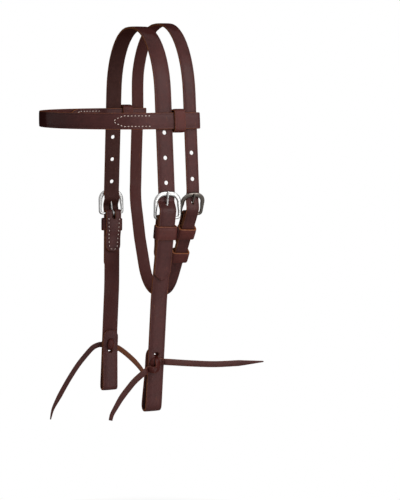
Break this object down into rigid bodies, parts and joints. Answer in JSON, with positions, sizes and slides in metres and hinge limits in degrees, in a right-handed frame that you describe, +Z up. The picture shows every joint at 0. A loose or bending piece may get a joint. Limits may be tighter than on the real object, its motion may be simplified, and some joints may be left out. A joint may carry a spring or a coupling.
{
  "type": "western headstall",
  "caption": "Western headstall: leather crown, browband and throatlatch, cheek pieces on horseshoe buckles with folded bit loops tied by leather laces.",
  "frame": {"origin": "middle of the flat underside of the crown, where the headstall hangs on the poll", "axes": "+Z up, +X towards the horse's left (near) side, -Y forward towards the nose"},
  "size_m": [0.2353, 0.2331, 0.4817],
  "materials": {
    "latigo_leather": "oiled latigo, dark red-brown, low gloss",
    "keeper_leather": "oiled latigo with burnished brown edges",
    "lace_leather": "soft latigo lace",
    "polished_steel": "polished stainless steel"
  },
  "bodies": {
    "headstall": {"crown_strap": "latigo_leather", "near_cheek_strap": "latigo_leather", "off_cheek_strap": "latigo_leather", "throatlatch_strap": "latigo_leather", "near_cheek_keeper": "keeper_leather", "off_cheek_keeper": "keeper_leather", "throat_fixed_keeper": "keeper_leather", "near_tie_knot": "lace_leather", "off_tie_knot": "lace_leather", "near_tie_rear_tail": "lace_leather", "near_tie_front_tail": "lace_leather", "off_tie_rear_tail": "lace_leather", "off_tie_front_tail": "lace_leather"},
    "browband": {"browband": "latigo_leather", "near_browband_keeper": "keeper_leather", "off_browband_keeper": "keeper_leather"},
    "sliding_keeper": {"throat_sliding_keeper": "keeper_leather"},
    "near_buckle": {"near_buckle_frame": "polished_steel"},
    "near_tongue": {"near_buckle_tongue": "polished_steel"},
    "off_buckle": {"off_buckle_frame": "polished_steel"},
    "off_tongue": {"off_buckle_tongue": "polished_steel"},
    "throat_buckle": {"throat_buckle_frame": "polished_steel"},
    "throat_tongue": {"throat_buckle_tongue": "polished_steel"}
  },
  "joints": [
    {"name": "browband_slide", "type": "slide", "parent": "headstall", "child": "browband", "axis": [0, 0, 1], "range_m": [-0.005, 0.005]},
    {"name": "throat_keeper_slide", "type": "slide", "parent": "headstall", "child": "sliding_keeper", "axis": [-0.5589, -0.0323, -0.8286], "range_m": [-0.004, 0.024]},
    {"name": "near_buckle_rock", "type": "hinge", "parent": "headstall", "child": "near_buckle", "pos_m": [0.107, 0, -0.20833], "axis": [0, 1, 0], "range_deg": [-0.4, 1.5]},
    {"name": "near_tongue_lift", "type": "hinge", "parent": "near_buckle", "child": "near_tongue", "pos_m": [0.107, 0, -0.20833], "axis": [0, 1, 0], "range_deg": [0, 1.5]},
    {"name": "off_buckle_rock", "type": "hinge", "parent": "headstall", "child": "off_buckle", "pos_m": [-0.10858, 0, -0.22263], "axis": [0, -1, 0], "range_deg": [-0.4, 1.5]},
    {"name": "off_tongue_lift", "type": "hinge", "parent": "off_buckle", "child": "off_tongue", "pos_m": [-0.10858, 0, -0.22263], "axis": [0, -1, 0], "range_deg": [0, 1.5]},
    {"name": "throat_buckle_rock", "type": "hinge", "parent": "headstall", "child": "throat_buckle", "pos_m": [0.09594, 0.0308, -0.20596], "axis": [0, 1, 0], "range_deg": [-0.4, 1.5]},
    {"name": "throat_tongue_lift", "type": "hinge", "parent": "throat_buckle", "child": "throat_tongue", "pos_m": [0.09594, 0.0308, -0.20596], "axis": [0, 1, 0], "range_deg": [0, 1.5]}
  ]
}
